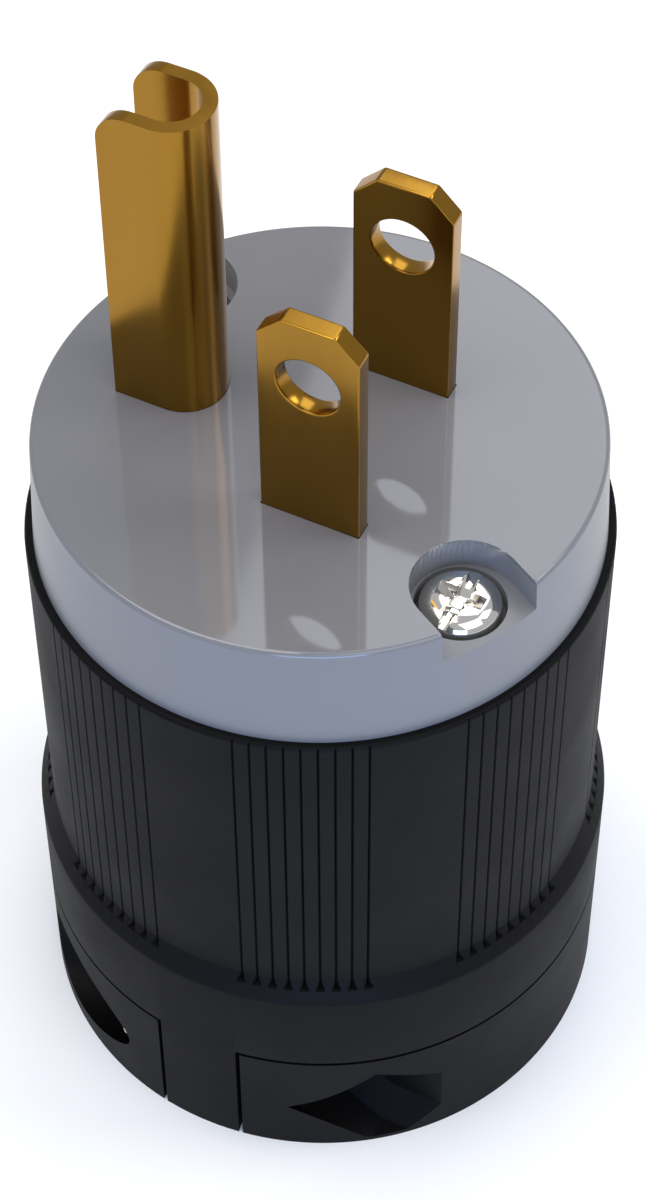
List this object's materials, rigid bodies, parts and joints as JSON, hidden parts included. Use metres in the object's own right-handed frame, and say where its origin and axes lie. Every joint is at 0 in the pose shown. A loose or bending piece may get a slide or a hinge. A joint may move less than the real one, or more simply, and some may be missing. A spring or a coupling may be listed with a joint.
{
  "type": "straight-blade grounding power plug",
  "caption": "Three-wire straight-blade power plug with a grey face cap, ribbed black shell, U-shaped ground blade and a two-jaw cord clamp.",
  "frame": {"origin": "centre of the cord end, on the plug's axis", "axes": "+Z along the plug's axis towards the blades, ground blade on the -X side, neutral blade at -Y, hot blade at +Y"},
  "size_m": [0.0394, 0.0394, 0.0765],
  "materials": {
    "grey_nylon": "glossy moulded nylon",
    "black_nylon": "satin moulded nylon",
    "carrier_resin": "moulded thermoset",
    "blade_brass": "satin rolled sheet",
    "nickel_steel": "bright nickel plate",
    "terminal_brass": "machined",
    "green_steel": "green dyed plating"
  },
  "bodies": {
    "root": {"shell": "black_nylon", "clamp_jaw_right": "black_nylon", "clamp_jaw_left": "black_nylon", "face_cap": "grey_nylon", "terminal_carrier": "carrier_resin", "blade_neutral": "blade_brass", "blade_hot": "blade_brass", "blade_ground": "blade_brass", "wire_plate_neutral": "nickel_steel", "wire_plate_hot": "terminal_brass", "wire_plate_ground": "nickel_steel", "terminal_screw_neutral": "nickel_steel", "terminal_screw_hot": "terminal_brass", "terminal_screw_ground": "green_steel", "assembly_screw_front": "nickel_steel", "assembly_screw_back": "nickel_steel", "threaded_insert_front": "terminal_brass", "threaded_insert_back": "terminal_brass", "clamp_screw_front": "nickel_steel", "clamp_screw_back": "nickel_steel", "clamp_nut_front": "nickel_steel", "clamp_nut_back": "nickel_steel"}
  },
  "joints": []
}
